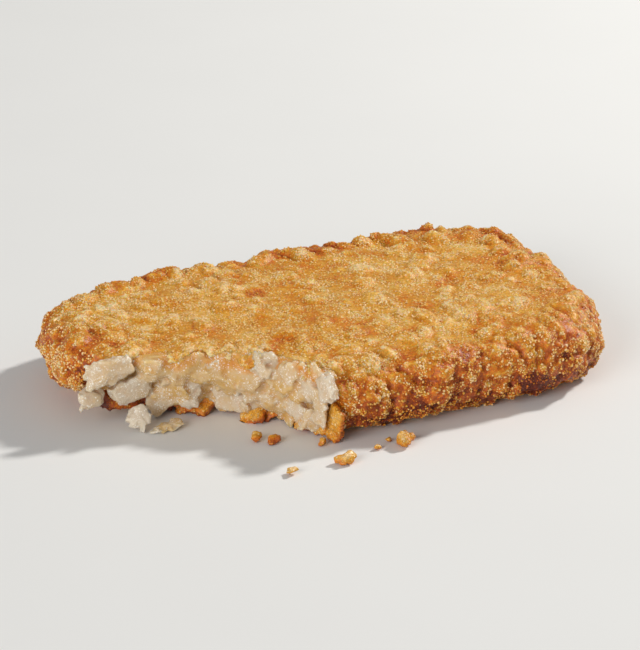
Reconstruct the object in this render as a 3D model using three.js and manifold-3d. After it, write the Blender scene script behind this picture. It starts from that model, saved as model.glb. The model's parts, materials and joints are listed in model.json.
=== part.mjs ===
// A fried hash brown: one oblong patty of shredded potato, with a bite taken out of its near left corner.
//
// Millimetres, +Z up. The patty lies flat on z = 0 and the origin is the middle of its box, on the underside.
// +X runs along the patty and +Y across it, so the bitten corner is the one at -X, -Y.
//
// The patty has one rounded oblong outline, a flat underside, a side that bulges out at half height and a
// nearly flat top. Smooth noise makes the side and the top as uneven as fried potato is. The bite is cut by a
// shaft with tooth scallops round its edge, and torn shreds of potato stand out of the cut.

import * as THREE from "three";
import Module from "manifold-3d";
import { ImprovedNoise } from "three/addons/math/ImprovedNoise.js";
import { mergeVertices } from "three/addons/utils/BufferGeometryUtils.js";

// The patty's overall size, before its swells and lumps, and its outline
const LENGTH = 103;
const WIDTH = 62;
const HEIGHT = 14.5;
const SQUARENESS = 3.9; // exponent of the outline's superellipse: 2 is an oval, more is squarer
const TAPER = 0.05; // share by which the right end is wider, and the left end narrower, than the middle
const SWELL_SPREAD = 0.28; // radians over which the outline swells or narrows
const SWELLS = [
  // where, in radians from +X towards +Y, and how far out
  { angle: 0.44, out: 2.2 }, // far right corner
  { angle: 0.05, out: 2.6 }, // right end
  { angle: 2.6, out: 1.2 }, // far left corner
  { angle: -2.85, out: -2 }, // left end, beside the bite
  { angle: -0.85, out: -2 }, // near side, right of its middle
];

// The side and the top
const TOP_INSET = 5; // how far the top's edge lies inside the bulge of the side
const BOTTOM_INSET = 7; // how far the underside's edge does
const RIM_DROP = 1.2; // how far the top's edge lies below its middle
const LUMP_SPACING = 10; // size of the crust's broad lumps
const LUMP_HEIGHT = 1.1; // their height on the side
const SMALL_LUMP_SHARE = 0.4; // the height of lumps half that size, as a share of the broad ones'
const TOP_LUMP_SHARE = 0.5; // the top's lumps, as a share of the side's

// The bite
const BITE_CENTRE = new THREE.Vector2(-52, -41);
const BITE_REACH = new THREE.Vector2(43, 36); // along X and along Y
const BITE_SQUARENESS = 2.4; // as the outline's
const TOOTH_WIDTH = 8.5; // along the bite's edge
const TOOTH_DEPTH = 1.5;
const MEAN_TOOTH = 2 / Math.PI; // mean of the sine arches that the tooth marks are
const UNDERCUT = 7; // how much further the far side of the bite reaches in at the bottom than at the top
const TEAR_SPACING = 5; // size of the torn hollows in the bite's wall
const TEAR_DEPTH = 1.3;

// The shreds of potato in the bite
const SHRED = new THREE.Vector3(3.5, 2.3, 1.6); // half length, half width, half thickness
const SHRED_ROWS = [3.2, 6.9, 10.4]; // heights of the rows above the underside
const SHRED_PITCH = 6; // from one shred to the next along a row
const SHRED_SPREAD = 0.3; // how much larger or smaller than that a shred may be, as a share
const SHRED_TURN = 0.9; // radians that a shred may be turned from lying along the wall
const SHRED_STAND = 0.5; // how far a shred's middle stands out of the wall
const SHRED_ROUGHNESS = 0.22; // how uneven a shred is, as a share of its size
const SHRED_LUMP = 0.7; // size of that unevenness, as a share of the shred's half size
const SHRED_DRIFT = 0.8; // how far a shred may lie above or below its row
const SHRED_CLEARANCE = 0.6; // how far the shreds stay from the underside and the top

// Patterns of the smooth noise: each seed gives another one
const BROAD_LUMP_SEED = 3.7;
const SMALL_LUMP_SEED = 8.1;
const TEAR_SEED = 5.3;
const SHRED_SEED = 2.3;
const NOISE_GAIN = 1.6; // brings the noise to about -1 to 1

// How finely the shapes are divided
const LENGTH_CELLS = 42;
const WIDTH_CELLS = 26;
const SIDE_CELLS = 8;
const BITE_STEPS = 96;
const BITE_RINGS = 7;
const MERGE_DISTANCE = 1e-4; // points nearer than this are one
const SHAFT_LOW = -2; // the shaft that cuts the bite ends below the underside and above the top
const SHAFT_HIGH = HEIGHT + 4;

const wasm = await Module();
wasm.setup();
const perlin = new ImprovedNoise();

/** Smooth noise of about -1 to 1, with features of the given size; seed picks another pattern. */
function noise(point, size, seed) {
  return NOISE_GAIN * perlin.noise(point.x / size + seed, point.y / size + seed, point.z / size - seed);
}

/** A repeatable number from -1 to 1 for a whole number and a channel: the last digits of a large sine. */
function scatter(index, channel) {
  const large = 43758.5453 * Math.sin(12.9898 * index + 78.233 * channel);
  return 2 * (large - Math.floor(large)) - 1;
}

/** How far the outline stands out at an angle, as no fried patty is quite even. */
function swell(angle) {
  const share = (middle) => Math.exp((2 * (Math.cos(angle - middle) - 1)) / SWELL_SPREAD ** 2);
  return SWELLS.reduce((sum, place) => sum + place.out * share(place.angle), 0);
}

/** The outline's point at an angle, moved inwards by inset and then scaled towards the middle. */
function outlinePoint(angle, inset, scale) {
  const halfLength = LENGTH / 2 - inset;
  const halfWidth = WIDTH / 2 - inset;
  const across = Math.abs(Math.sin(angle)) / halfWidth;
  const along = Math.abs(Math.cos(angle)) / halfLength;
  const even = 1 / Math.pow(along ** SQUARENESS + across ** SQUARENESS, 1 / SQUARENESS);
  const reach = scale * (even + swell(angle));
  const x = reach * Math.cos(angle);
  return new THREE.Vector2(x, reach * Math.sin(angle) * (1 + (TAPER * x) / halfLength));
}

/** The patty's point for a point of a cube from -1 to 1: its underside, side and top are the cube's. */
function pattyPoint(u, v, w) {
  const share = Math.max(Math.abs(u), Math.abs(v)); // from 0 in the middle to 1 at the side
  const rise = (w + 1) / 2; // from 0 at the underside to 1 at the top
  const inset = (rise < 0.5 ? BOTTOM_INSET : TOP_INSET) * (1 - Math.sin(Math.PI * rise));
  const flat = outlinePoint(Math.atan2(v * WIDTH, u * LENGTH), inset, share);
  const sideHeight = ((HEIGHT - RIM_DROP) * (1 - Math.cos(Math.PI * rise))) / 2;
  const z = w < 1 ? sideHeight : HEIGHT - RIM_DROP * share ** 4;
  return addLumps(new THREE.Vector3(flat.x, flat.y, z), share ** 2, rise ** 3);
}

/** Moves a point outwards and upwards by the crust's broad lumps, by the given shares of their height. */
function addLumps(point, sideShare, topShare) {
  const broad = noise(point, LUMP_SPACING, BROAD_LUMP_SEED);
  const small = SMALL_LUMP_SHARE * noise(point, LUMP_SPACING / 2, SMALL_LUMP_SEED);
  const lump = LUMP_HEIGHT * (broad + small);
  const outwards = new THREE.Vector2(point.x, point.y).normalize();
  point.x += outwards.x * lump * sideShare;
  point.y += outwards.y * lump * sideShare;
  point.z += lump * TOP_LUMP_SHARE * topShare;
  return point;
}

/** The whole patty, before the bite. */
function pattyGeometry() {
  const patty = new THREE.BoxGeometry(2, 2, 2, LENGTH_CELLS, WIDTH_CELLS, SIDE_CELLS);
  const position = patty.getAttribute("position");
  for (let i = 0; i < position.count; i++) {
    const point = pattyPoint(position.getX(i), position.getY(i), position.getZ(i));
    position.setXYZ(i, point.x, point.y, point.z);
  }
  return patty;
}

/** A closed geometry from rings of points, with a point at the middle of the first and of the last ring. */
function closedFromRings(rings, start, end) {
  const steps = rings[0].length;
  const points = [start, ...rings.flat(), end];
  const faces = [];
  const at = (ring, step) => 1 + ring * steps + (step % steps);
  for (let step = 0; step < steps; step++) {
    faces.push(0, at(0, step + 1), at(0, step));
    for (let ring = 0; ring + 1 < rings.length; ring++) {
      const [a, b] = [at(ring, step), at(ring, step + 1)];
      const [c, d] = [at(ring + 1, step), at(ring + 1, step + 1)];
      faces.push(a, b, d, a, d, c);
    }
    faces.push(at(rings.length - 1, step), at(rings.length - 1, step + 1), points.length - 1);
  }
  return new THREE.BufferGeometry().setFromPoints(points).setIndex(faces);
}

/** How far the bite reaches past its even shape at an angle and a height: teeth, the undercut and tears. */
function biteUnevenness(angle, z) {
  const teeth = Math.abs(Math.sin((angle * BITE_REACH.x * Math.PI) / (2 * TOOTH_WIDTH)));
  const undercut = UNDERCUT * Math.sin(angle) * (0.5 - z / HEIGHT);
  const place = new THREE.Vector3(BITE_REACH.x * Math.cos(angle), BITE_REACH.y * Math.sin(angle), z);
  const tear = TEAR_DEPTH * noise(place, TEAR_SPACING, TEAR_SEED);
  return TOOTH_DEPTH * (teeth - MEAN_TOOTH) + undercut + tear;
}

/** A number squared off for the bite's superellipse, with its sign kept. */
function squaredOff(number) {
  return Math.sign(number) * Math.abs(number) ** (2 / BITE_SQUARENESS);
}

/** A point on the bite's wall, moved towards the bite's centre by out. */
function bitePoint(angle, z, out = 0) {
  const further = biteUnevenness(angle, z) - out;
  const x = BITE_CENTRE.x + (BITE_REACH.x + further) * squaredOff(Math.cos(angle));
  const y = BITE_CENTRE.y + (BITE_REACH.y + further) * squaredOff(Math.sin(angle));
  return new THREE.Vector3(x, y, z);
}

/** The shaft that cuts the bite. */
function biteGeometry() {
  const rings = [];
  for (let ring = 0; ring < BITE_RINGS; ring++) {
    const z = THREE.MathUtils.lerp(SHAFT_LOW, SHAFT_HIGH, ring / (BITE_RINGS - 1));
    const points = [];
    for (let step = 0; step < BITE_STEPS; step++) {
      points.push(bitePoint((2 * Math.PI * step) / BITE_STEPS, z));
    }
    rings.push(points);
  }
  const middle = (z) => new THREE.Vector3(BITE_CENTRE.x, BITE_CENTRE.y, z);
  return closedFromRings(rings, middle(SHAFT_LOW), middle(SHAFT_HIGH));
}

/** One shred: a torn lump, turned at random and set into the bite's wall, clear of the patty's faces. */
function shredGeometry(angle, height, index) {
  const size = SHRED.clone().multiplyScalar(1 + SHRED_SPREAD * scatter(index, 1));
  const [roll, pitch, yaw] = [2, 3, 4].map((channel) => SHRED_TURN * scatter(index, channel));
  const turn = new THREE.Euler(roll, pitch, angle + Math.PI / 2 + yaw);
  const root = bitePoint(angle, height + SHRED_DRIFT * scatter(index, 5), SHRED_STAND);
  const shred = new THREE.IcosahedronGeometry(1, 1);
  const position = shred.getAttribute("position");
  for (let i = 0; i < position.count; i++) {
    const point = new THREE.Vector3().fromBufferAttribute(position, i);
    point.multiplyScalar(1 + SHRED_ROUGHNESS * noise(point, SHRED_LUMP, SHRED_SEED + index));
    point.multiply(size).applyEuler(turn).add(root);
    point.z = THREE.MathUtils.clamp(point.z, SHRED_CLEARANCE, HEIGHT - SHRED_CLEARANCE);
    position.setXYZ(i, point.x, point.y, point.z);
  }
  return shred;
}

/** The shreds of every row that lie inside the patty's outline. */
function shredGeometries() {
  const shreds = [];
  const pitch = SHRED_PITCH / BITE_REACH.x;
  SHRED_ROWS.forEach((height, row) => {
    for (let angle = (pitch * (row % 2)) / 2; angle < Math.PI; angle += pitch) {
      const index = shreds.length + 1;
      const place = bitePoint(angle, height);
      const edge = outlinePoint(Math.atan2(place.y, place.x), TOP_INSET + SHRED.z, 1);
      if (Math.hypot(place.x, place.y) < edge.length()) {
        shreds.push(shredGeometry(angle, height, index));
      }
    }
  });
  return shreds;
}

/** A three.js geometry as a solid that can be joined and cut. */
function toSolid(geometry) {
  const bare = new THREE.BufferGeometry();
  bare.setAttribute("position", geometry.getAttribute("position"));
  bare.setIndex(geometry.index);
  const merged = mergeVertices(bare, MERGE_DISTANCE);
  const vertProperties = merged.getAttribute("position").array;
  const triVerts = new Uint32Array(merged.index.array);
  return new wasm.Manifold(new wasm.Mesh({ numProp: 3, vertProperties, triVerts }));
}

/** A solid back as a three.js geometry, centred on its box with its underside at z = 0. */
function toGeometry(solid) {
  const mesh = solid.getMesh();
  const geometry = new THREE.BufferGeometry();
  geometry.setAttribute("position", new THREE.BufferAttribute(mesh.vertProperties, 3));
  geometry.setIndex(new THREE.BufferAttribute(mesh.triVerts, 1));
  geometry.computeBoundingBox();
  const { min, max } = geometry.boundingBox;
  geometry.translate(-(min.x + max.x) / 2, -(min.y + max.y) / 2, -min.z);
  geometry.computeVertexNormals();
  return geometry;
}

/** The patty with its bite cut out and its shreds joined on. */
function bittenPatty() {
  const bitten = toSolid(pattyGeometry()).subtract(toSolid(biteGeometry()));
  return shredGeometries().reduce((whole, shred) => whole.add(toSolid(shred)), bitten);
}

const friedPotato = new THREE.MeshStandardMaterial({ color: 0xd69a4e, roughness: 0.6, metalness: 0 });
const hashBrown = new THREE.Mesh(toGeometry(bittenPatty()), friedPotato);
hashBrown.name = "hash_brown";

const group = new THREE.Group();
group.add(hashBrown);

export default group;
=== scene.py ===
"""The looks of a fried hash brown with a bite out of its near left corner.

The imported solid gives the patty's outline, its thickness and its bite. Round a smooth copy of it this
script fuses small shreds into a lumpy crust and roughens that with batter. It fills the bite with torn
potato, strews loose grains over the crust and lays the crumbs that fell beside the patty. Everything is
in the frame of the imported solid: the patty lies on z = 0 and its bitten corner is at -X, -Y. Lengths are
in metres and angles in radians where nothing else is said.
"""

from __future__ import annotations

import json
import logging
import math
import random
from dataclasses import dataclass, field
from enum import Enum

import bpy
import numpy as np
from mathutils import Euler, Matrix, Vector, noise
from mathutils.kdtree import KDTree

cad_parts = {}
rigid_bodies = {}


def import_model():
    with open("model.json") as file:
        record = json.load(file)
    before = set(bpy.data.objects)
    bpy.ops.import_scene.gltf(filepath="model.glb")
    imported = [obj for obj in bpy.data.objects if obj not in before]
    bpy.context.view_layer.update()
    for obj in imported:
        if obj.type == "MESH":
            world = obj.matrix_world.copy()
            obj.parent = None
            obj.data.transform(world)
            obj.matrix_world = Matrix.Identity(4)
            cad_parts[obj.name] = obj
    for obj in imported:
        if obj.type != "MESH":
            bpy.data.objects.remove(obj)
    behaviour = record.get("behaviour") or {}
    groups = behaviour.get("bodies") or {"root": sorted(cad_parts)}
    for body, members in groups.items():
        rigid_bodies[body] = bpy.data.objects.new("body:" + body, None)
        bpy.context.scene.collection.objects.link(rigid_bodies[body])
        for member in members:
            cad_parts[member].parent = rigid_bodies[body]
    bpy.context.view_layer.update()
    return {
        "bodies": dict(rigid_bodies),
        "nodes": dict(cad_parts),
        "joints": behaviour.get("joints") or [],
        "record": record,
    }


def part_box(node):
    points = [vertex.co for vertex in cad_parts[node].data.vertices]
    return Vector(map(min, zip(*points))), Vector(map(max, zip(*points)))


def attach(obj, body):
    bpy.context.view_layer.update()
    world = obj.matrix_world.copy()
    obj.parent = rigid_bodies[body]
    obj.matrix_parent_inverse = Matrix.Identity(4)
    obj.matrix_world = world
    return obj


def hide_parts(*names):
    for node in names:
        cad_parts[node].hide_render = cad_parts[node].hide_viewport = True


LOG = logging.getLogger("hash_brown")
NODE = "hash_brown"
BODY = "root"
MM = 0.001
TRIANGLE_LIMIT = 196_000  # the most triangles that one piece is left with; kept a little under what one piece may have
LEAST_WEIGHT = 0.05  # a vertex with less is outside its group

Colour = tuple[float, float, float]
Size = tuple[float, float, float]
Piece = bpy.types.Object
Socket = bpy.types.NodeSocket


class Stored(Enum):
    """The numbers that pieces store for each vertex, and that materials and scattering read."""

    RELIEF = "relief"  # 0 in a crevice, 0.5 on even ground, 1 on a tip
    BROWNING = "browning"  # 0 where the crust is pale, 1 where it is darkest, with painted shade in crevices and low on the side added
    TINT = "tint"  # a number from 0 to 1 for each loose bit
    SIDE = "side"  # 1 on the patty's side and rim
    TOP = "top"  # 1 on its top
    COVER = "cover"  # 1 where grains of batter cover the crust, 0 where it is bare
    BARE = "bare"  # the other way round
    FLESH = "flesh"  # 1 on the potato that the bite lays bare
    FILLED = "filled"  # 1 where small shreds fill the bite's wall, up to the top crust
    LIP = "lip"  # 1 where the top crust hangs over them
    TORN = "torn"  # 1 where that edge is torn back
    RIM = "rim"  # 1 along the edge of the patty's top


# ------------------------------------------------------------
# Small tools for modelling
# ------------------------------------------------------------


def mm(*lengths: float) -> tuple[float, ...]:
    """Returns lengths in millimetres as metres."""
    return tuple(length * MM for length in lengths)


def activate(piece: Piece) -> None:
    """Makes a piece the only selected object and the active one."""
    bpy.ops.object.select_all(action="DESELECT")
    piece.select_set(True)
    bpy.context.view_layer.objects.active = piece


def modify(piece: Piece, kind: str, group: Stored | None = None, **settings: object) -> None:
    """Adds a modifier to a piece and applies it.

    Args:
        piece: The object to change.
        kind: The modifier's type, such as "REMESH".
        group: The vertex group that it keeps to, or none for the whole piece.
        **settings: The modifier's own settings by name.
    """
    modifier = piece.modifiers.new(kind.title(), kind)
    for name, value in settings.items():
        setattr(modifier, name, value)
    if group:
        modifier.vertex_group = group.value
    activate(piece)
    bpy.ops.object.modifier_apply(modifier=modifier.name)


def remesh(piece: Piece, cell: float) -> None:
    """Gives a piece one closed skin with even cells of the given size in metres."""
    modify(piece, "REMESH", mode="VOXEL", voxel_size=cell, use_smooth_shade=True)


def even_out(piece: Piece, rounds: int, group: Stored | None = None) -> None:
    """Evens out a piece's surface in a number of rounds, or only one vertex group of it."""
    modify(piece, "SMOOTH", group, factor=0.5, iterations=rounds)


def swell(piece: Piece, distance: float, group: Stored | None = None) -> None:
    """Moves a piece's surface, or one vertex group of it, out by a distance in metres, or in if below 0."""
    modify(piece, "DISPLACE", group, strength=distance, mid_level=0.0)


def copy_of(piece: Piece, name: str) -> Piece:
    """Returns a copy of a piece with a mesh of its own."""
    copy = piece.copy()
    copy.data = piece.data.copy()
    copy.name = copy.data.name = name
    bpy.context.collection.objects.link(copy)
    return copy


def join(pieces: list[Piece], name: str) -> Piece:
    """Joins pieces into one object of the given name and returns it."""
    activate(pieces[0])
    for piece in pieces[1:]:
        piece.select_set(True)
    if len(pieces) > 1:
        bpy.ops.object.join()
    pieces[0].name = pieces[0].data.name = name
    return pieces[0]


def settle(piece: Piece) -> None:
    """Moves a piece's place, turn and scale into its mesh."""
    activate(piece)
    bpy.ops.object.transform_apply(location=True, rotation=True, scale=True)


def smooth(piece: Piece) -> None:
    """Shades a piece's faces smoothly."""
    activate(piece)
    bpy.ops.object.shade_smooth()


def points_of(piece: Piece) -> np.ndarray:
    """Returns the piece's vertices as rows of x, y and z."""
    flat = np.empty(len(piece.data.vertices) * 3)
    piece.data.vertices.foreach_get("co", flat)
    return flat.reshape(-1, 3)


def move_points(piece: Piece, points: np.ndarray) -> None:
    """Puts the piece's vertices at the given rows of x, y and z."""
    piece.data.vertices.foreach_set("co", points.ravel())
    piece.data.update()


def normals_of(piece: Piece) -> np.ndarray:
    """Returns the piece's vertex normals as rows of x, y and z."""
    flat = np.empty(len(piece.data.vertices) * 3)
    piece.data.vertex_normals.foreach_get("vector", flat)
    return flat.reshape(-1, 3)


def press_flat(piece: Piece) -> None:
    """Presses a piece's underside flat on the ground."""
    points = points_of(piece)
    points[:, 2] = np.maximum(points[:, 2], 0.0)
    move_points(piece, points)


def store(piece: Piece, stored: Stored, values: np.ndarray | float) -> None:
    """Stores one number for each vertex of a piece, or the same one for them all, as an attribute."""
    attributes = piece.data.attributes
    attribute = attributes.get(stored.value) or attributes.new(stored.value, "FLOAT", "POINT")
    attribute.data.foreach_set("value", np.full(len(piece.data.vertices), values, np.float32))


def values_of(piece: Piece, stored: Stored) -> np.ndarray:
    """Returns the number stored for each vertex of a piece."""
    values = np.empty(len(piece.data.vertices), np.float32)
    piece.data.attributes[stored.value].data.foreach_get("value", values)
    return values


def group_vertices(piece: Piece, stored: Stored, weights: np.ndarray) -> None:
    """Stores one weight from 0 to 1 for each vertex of a piece as a vertex group, in sixteen steps."""
    group = piece.vertex_groups.get(stored.value) or piece.vertex_groups.new(name=stored.value)
    steps = np.rint(np.clip(weights, 0, 1) * 16).astype(int)
    for step in range(17):
        members = np.nonzero(steps == step)[0].tolist()
        if members:
            group.add(members, step / 16, "REPLACE")


def weights_of(piece: Piece, stored: Stored) -> np.ndarray:
    """Returns a vertex group's weight for each vertex of a piece."""
    index = piece.vertex_groups[stored.value].index
    weights = np.zeros(len(piece.data.vertices))
    for vertex in piece.data.vertices:
        for group in vertex.groups:
            if group.group == index:
                weights[vertex.index] = group.weight
    return weights


def nearest_in(piece: Piece) -> KDTree:
    """Returns a tree that finds the vertex of a piece nearest to a point."""
    tree = KDTree(len(piece.data.vertices))
    for vertex in piece.data.vertices:
        tree.insert(vertex.co, vertex.index)
    tree.balance()
    return tree


def distances(piece: Piece, other: Piece) -> np.ndarray:
    """Returns how far each vertex of a piece is from the nearest vertex of another, in metres."""
    tree = nearest_in(other)
    return np.array([tree.find(vertex.co)[2] for vertex in piece.data.vertices])


def fuse(piece: Piece, cell: float, kept: tuple[Stored, ...]) -> None:
    """Fuses a piece's overlapping parts into one skin, and keeps the numbers stored on them.

    Args:
        piece: The object to fuse.
        cell: Size of the fused skin's cells.
        kept: The stored numbers to keep, each taken from the nearest old vertex.
    """
    tree = nearest_in(piece)
    old = {stored: values_of(piece, stored) for stored in kept}
    remesh(piece, cell)
    nearest = np.array([tree.find(vertex.co)[1] for vertex in piece.data.vertices])
    for stored, values in old.items():
        store(piece, stored, values[nearest])


def clouds(points: np.ndarray, size: float, seed: int) -> np.ndarray:
    """Returns soft noise of about -1 to 1 at each point, with features of the given size in metres."""
    shift = Vector((seed * 7.3, seed * 3.1, seed * 5.7))
    return np.array([noise.noise(Vector(point) / size + shift) for point in points]) * 1.6


def smoothstep(low: float, high: float, values: np.ndarray) -> np.ndarray:
    """Returns values turned into a smooth rise from 0 at low to 1 at high."""
    share = np.clip((values - low) / (high - low), 0, 1)
    return share * share * (3 - 2 * share)


def triangles_in(piece: Piece) -> int:
    """Returns how many triangles a piece's faces make."""
    return sum(len(face.vertices) - 2 for face in piece.data.polygons)


def thin_out(piece: Piece) -> None:
    """Collapses a piece's smallest edges until it has no more triangles than the triangle limit."""
    count = triangles_in(piece)
    if count > TRIANGLE_LIMIT:
        modify(piece, "DECIMATE", ratio=TRIANGLE_LIMIT / count)


# ------------------------------------------------------------
# Node trees
# ------------------------------------------------------------

RANDOM_KINDS = ("FLOAT_VECTOR", "FLOAT", "INT")  # in the order of the Random Value node's sockets
NOISE_RANGE = (0.3, 0.7)  # what a noise node's numbers mostly keep to


class Tree:
    """Adds and links the nodes of one node tree."""

    def __init__(self, tree: bpy.types.NodeTree) -> None:
        """Keeps the tree that nodes are added to."""
        self.tree = tree

    def put(self, value: object, socket: Socket) -> None:
        """Links another node's output to an input, or sets the input to a number, a vector or a colour."""
        if isinstance(value, Socket):
            self.tree.links.new(value, socket)
        else:
            socket.default_value = value

    def add(self, kind: str, inputs: dict | None = None, **settings: object) -> bpy.types.Node:
        """Adds a node.

        Args:
            kind: The node's type name.
            inputs: A number, vector or other node's output for each input, by its name or its place.
            **settings: The node's own settings by name.

        Returns:
            The new node.
        """
        node = self.tree.nodes.new(kind)
        for name, value in settings.items():
            setattr(node, name, value)
        for key, value in (inputs or {}).items():
            self.put(value, self.socket(node, key))
        return node

    @staticmethod
    def socket(node: bpy.types.Node, key: str | int) -> Socket:
        """Returns a node's input by its place, or the first one in use by its name."""
        if isinstance(key, int):
            return node.inputs[key]
        return next(one for one in node.inputs if one.name == key and one.enabled)

    def group(self, group: bpy.types.NodeTree, **inputs: object) -> Socket:
        """Returns the first output of a node group with the given inputs."""
        return self.add("ShaderNodeGroup", inputs, node_tree=group).outputs[0]

    def stored(self, stored: Stored) -> Socket:
        """Returns a number that the surface stores."""
        return self.add("ShaderNodeAttribute", attribute_name=stored.value).outputs["Fac"]

    def math(self, operation: str, *values: object, **settings: object) -> Socket:
        """Returns the output of a Math node over one to three values."""
        inputs = dict(enumerate(values))
        return self.add("ShaderNodeMath", inputs, operation=operation, **settings).outputs[0]

    def spread(self, value: object, low: float, high: float, start: float = 0.0, end: float = 1.0):
        """Returns a value mapped from the range low to high onto start to end, held inside it."""
        inputs = {"Value": value, "From Min": low, "From Max": high, "To Min": start, "To Max": end}
        return self.add("ShaderNodeMapRange", inputs).outputs["Result"]

    def mix(self, share: object, first: object, second: object, blend: str = "MIX") -> Socket:
        """Returns the output of a mix of two colours."""
        node = self.add("ShaderNodeMix", data_type="RGBA", blend_type=blend)
        for place, value in ((0, share), (6, first), (7, second)):
            self.put((*value, 1) if isinstance(value, tuple) else value, node.inputs[place])
        return node.outputs[2]

    def noise(self, place: object, size: float, detail: float = 2.0, roughness: float = 0.5) -> object:
        """Returns smooth noise of about 0 to 1 with features of the given size in metres."""
        inputs = {"Vector": place, "Scale": 1 / size, "Detail": detail, "Roughness": roughness}
        return self.add("ShaderNodeTexNoise", inputs).outputs[0]

    def clouds(self, place: object, size: float, low: float, high: float, **kind: float) -> Socket:
        """Returns clouds of numbers from low to high, with features of the given size in metres."""
        return self.spread(self.noise(place, size, **kind), *NOISE_RANGE, low, high)

    def bump(self, height: object, distance: float) -> Socket:
        """Returns the normal of a surface with a bump of the given height in metres."""
        return self.add("ShaderNodeBump", {"Distance": distance, "Height": height}).outputs["Normal"]

    def draw(self, kind: str, low: object, high: object, seed: int) -> Socket:
        """Returns a random value of one of the random kinds, from low to high."""
        place = RANDOM_KINDS.index(kind)
        inputs = {2 * place: low, 2 * place + 1: high, "Seed": seed}
        return self.add("FunctionNodeRandomValue", inputs, data_type=kind).outputs[place]

    def ramp(self, value: object, stops: tuple[tuple[float, Colour], ...]) -> Socket:
        """Returns a colour from a ramp of stops, each a place from 0 to 1 and a colour."""
        node = self.add("ShaderNodeValToRGB", {"Fac": value})
        elements = node.color_ramp.elements
        while len(elements) < len(stops):
            elements.new(0.5)
        for element, (place, colour) in zip(elements, stops):
            element.position = place
            element.color = (*colour, 1)
        return node.outputs["Color"]


def new_group(
    name: str, kind: str, inputs: dict[str, str], outputs: dict[str, str]
) -> tuple[Tree, bpy.types.Node, bpy.types.Node]:
    """Makes a node group.

    Args:
        name: The group's name.
        kind: The type of tree, "ShaderNodeTree" or "GeometryNodeTree".
        inputs: What each input holds, such as "Float", by the input's name.
        outputs: The same for each output.

    Returns:
        The tree's builder, its input node and its output node.
    """
    group = bpy.data.node_groups.new(name, kind)
    for direction, sockets in (("INPUT", inputs), ("OUTPUT", outputs)):
        for title, held in sockets.items():
            group.interface.new_socket(name=title, in_out=direction, socket_type=f"NodeSocket{held}")
    tree = Tree(group)
    return tree, tree.add("NodeGroupInput"), tree.add("NodeGroupOutput")


# ------------------------------------------------------------
# Finishes
# ------------------------------------------------------------

FRYING_COLOURS = (
    (0.0, (0.97, 0.69, 0.36)),
    (0.2, (0.82, 0.45, 0.076)),
    (0.4, (0.69, 0.280, 0.016)),
    (0.55, (0.67, 0.192, 0.012)),
    (0.7, (0.49, 0.100, 0.010)),
    (0.85, (0.33, 0.060, 0.006)),
    (1.0, (0.14, 0.019, 0.005)),
)  # from the palest browning to the darkest
PATCHES = ((8 * MM, 0.17), (2.4 * MM, 0.08), (0.4 * MM, 0.08))  # how large, and by how much they brown
CREVICE_SHADE_AND_TIP_HIGHLIGHT = (0.19, -0.11)  # painted shade that crevices add to the browning, and a painted highlight that tips take from it
CREST_HIGHLIGHT = (0.0, -0.12)  # what the same two ends of raised ground add besides, a painted highlight on the highest tips
GRAIN_PALENESS_AND_HIGHLIGHT = (0.38, 0.62)  # how much paler a grain is in a crevice and on a tip: its own paler batter, less of it in the crevice as painted shade and more on the tip as a painted highlight
PAINTED_PORE_SHADE = (0.74, 1.18)  # painted shade in the finest pores: how bright they are, and the skin between them
LAYERS = (0.55, 0.8, 1.2)  # how fine each layer of grains is, against a grain's own size
FULL_COVER = 0.45  # the share of a layer's cells that hold a grain where the cover is full


def frying_colour_and_shade_group() -> bpy.types.NodeTree:
    """Makes the group that turns browning, relief and a cover of grains into the colour of fried food, with
    painted shade in crevices and pores and a painted highlight on tips.
    """
    inputs = {"Place": "Vector", "Relief": "Float", "Browning": "Float", "Grains": "Float"}
    tree, source, result = new_group("frying_colour_and_shade", "ShaderNodeTree", inputs, {"Color": "Color"})
    place, relief, brown_and_shade, grains = source.outputs[:4]
    for size, share in PATCHES:
        brown_and_shade = tree.math("ADD", brown_and_shade, tree.clouds(place, size, -share, share))
    # Painted shade browns the crevices and a painted highlight pales the tips.
    brown_and_shade = tree.math("ADD", brown_and_shade, tree.spread(relief, 0.0, 1.0, *CREVICE_SHADE_AND_TIP_HIGHLIGHT))
    brown_and_shade = tree.math("ADD", brown_and_shade, tree.spread(relief, 0.65, 1.0, *CREST_HIGHLIGHT))
    # Grains are paler batter, with painted shade in crevices and a painted highlight on tips.
    paler = tree.math("MULTIPLY", grains, tree.spread(relief, 0.2, 0.8, *GRAIN_PALENESS_AND_HIGHLIGHT))
    colour = tree.ramp(tree.math("SUBTRACT", brown_and_shade, paler), FRYING_COLOURS)
    # Painted shade in the finest pores, with brighter skin between them.
    pore_shade = tree.clouds(place, 0.34 * MM, *PAINTED_PORE_SHADE, roughness=0.6)
    tree.put(tree.mix(1.0, colour, pore_shade, "MULTIPLY"), result.inputs["Color"])
    return tree.tree


def batter_grains_and_glints_group() -> bpy.types.NodeTree:
    """Makes the group that strews fine grains of batter, and on potato painted glints: where they lie, and
    how high they stand.
    """
    inputs = {"Place": "Vector", "Size": "Float", "Cover": "Float"}
    tree, source, result = new_group("batter_grains_and_glints", "ShaderNodeTree", inputs, {"Grains": "Float"})
    place, size, cover = source.outputs[:3]
    scale = tree.math("DIVIDE", 1.0, size)
    total = 0.0
    for finer in LAYERS:
        scaled = tree.math("MULTIPLY", scale, finer)
        cells = tree.add("ShaderNodeTexVoronoi", {"Vector": place, "Scale": scaled})
        drawn = tree.add("ShaderNodeSeparateColor", {"Color": cells.outputs["Color"]}).outputs[0]
        held = tree.math("MULTIPLY", cover, FULL_COVER)
        lying = tree.spread(tree.math("SUBTRACT", held, drawn), -0.05, 0.05)
        grain = tree.math("MULTIPLY", tree.spread(cells.outputs["Distance"], 0.1, 0.6, 1.0, 0.0), lying)
        total = tree.math("MAXIMUM", total, grain)
    tree.put(total, result.inputs["Grains"])
    return tree.tree


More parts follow.
